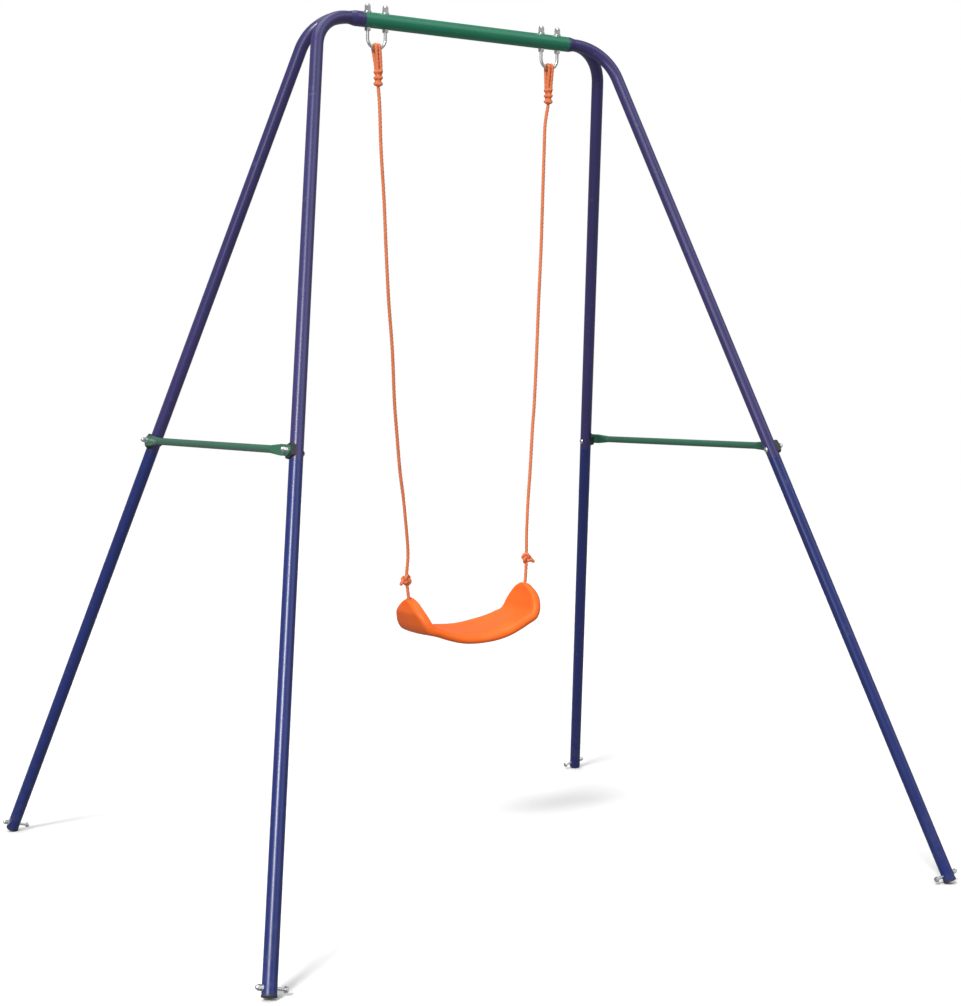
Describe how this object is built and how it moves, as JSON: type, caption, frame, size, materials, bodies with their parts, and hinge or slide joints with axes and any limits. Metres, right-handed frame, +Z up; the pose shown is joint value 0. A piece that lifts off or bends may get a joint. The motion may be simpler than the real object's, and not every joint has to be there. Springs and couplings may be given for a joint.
{
  "type": "swing set",
  "caption": "Single garden swing: a moulded seat on knotted ropes under a beam with splayed tube A-frames, cross braces and U-bolts.",
  "frame": {"origin": "on the ground, midway between the four feet", "axes": "+X along the beam, -Y the front (either side serves), +Z up"},
  "size_m": [1.6856, 1.532, 1.9265],
  "materials": {
    "blue_paint": "satin violet-blue powder coat",
    "green_paint": "satin green powder coat",
    "zinc": "bright zinc plate",
    "black_plastic": "matt",
    "seat_plastic": "satin orange, fine grain",
    "rope": "braided orange rope"
  },
  "bodies": {
    "frame": {"beam_tube": "green_paint", "corner_stub_left": "blue_paint", "corner_stub_right": "blue_paint", "upper_leg_front_left": "blue_paint", "upper_leg_back_left": "blue_paint", "upper_leg_front_right": "blue_paint", "upper_leg_back_right": "blue_paint", "lower_leg_front_left": "blue_paint", "lower_leg_back_left": "blue_paint", "lower_leg_front_right": "blue_paint", "lower_leg_back_right": "blue_paint", "foot_plug_front_left": "black_plastic", "foot_plug_back_left": "black_plastic", "foot_plug_front_right": "black_plastic", "foot_plug_back_right": "black_plastic", "brace_left": "green_paint", "brace_right": "green_paint", "saddle_front_left": "black_plastic", "saddle_back_left": "black_plastic", "saddle_front_right": "black_plastic", "saddle_back_right": "black_plastic", "brace_bolt_front_left": "zinc", "brace_bolt_back_left": "zinc", "brace_bolt_front_right": "zinc", "brace_bolt_back_right": "zinc", "brace_washers_left": "zinc", "brace_washers_right": "zinc", "brace_cap_nuts_left": "zinc", "brace_cap_nuts_right": "zinc", "foot_bolt_front_left": "zinc", "foot_bolt_back_left": "zinc", "foot_bolt_front_right": "zinc", "foot_bolt_back_right": "zinc", "foot_washers_left": "zinc", "foot_washers_right": "zinc", "foot_cap_nuts_left": "zinc", "foot_cap_nuts_right": "zinc", "ubolt_left": "zinc", "ubolt_right": "zinc", "ubolt_pads_left": "zinc", "ubolt_pads_right": "zinc", "ubolt_cap_nuts_left": "zinc", "ubolt_cap_nuts_right": "zinc", "ubolt_lock_nuts_left": "zinc", "ubolt_lock_nuts_right": "zinc"},
    "rope_left": {"rope_eye_left": "rope", "rope_lashing_left": "rope", "rope_left": "rope", "rope_knot_left": "rope"},
    "rope_right": {"rope_eye_right": "rope", "rope_lashing_right": "rope", "rope_right": "rope", "rope_knot_right": "rope"},
    "seat": {"rope_stopper_left": "rope", "rope_stopper_right": "rope", "seat": "seat_plastic"}
  },
  "joints": [
    {"name": "swing_left", "type": "hinge", "parent": "frame", "child": "rope_left", "pos_m": [-0.226, 0, 1.829], "axis": [1, 0, 0], "range_deg": [-60, 60]},
    {"name": "swing_right", "type": "hinge", "parent": "frame", "child": "rope_right", "pos_m": [0.226, 0, 1.829], "axis": [1, 0, 0], "range_deg": [-60, 60]},
    {"name": "seat_tilt", "type": "hinge", "parent": "rope_left", "child": "seat", "pos_m": [-0.13556, 0, 0.5995], "axis": [0.9972, 0, 0.0742], "range_deg": [-25, 25]}
  ],
  "couplings": [
    {"joint": "swing_right", "follows": "swing_left", "ratio": 1}
  ]
}
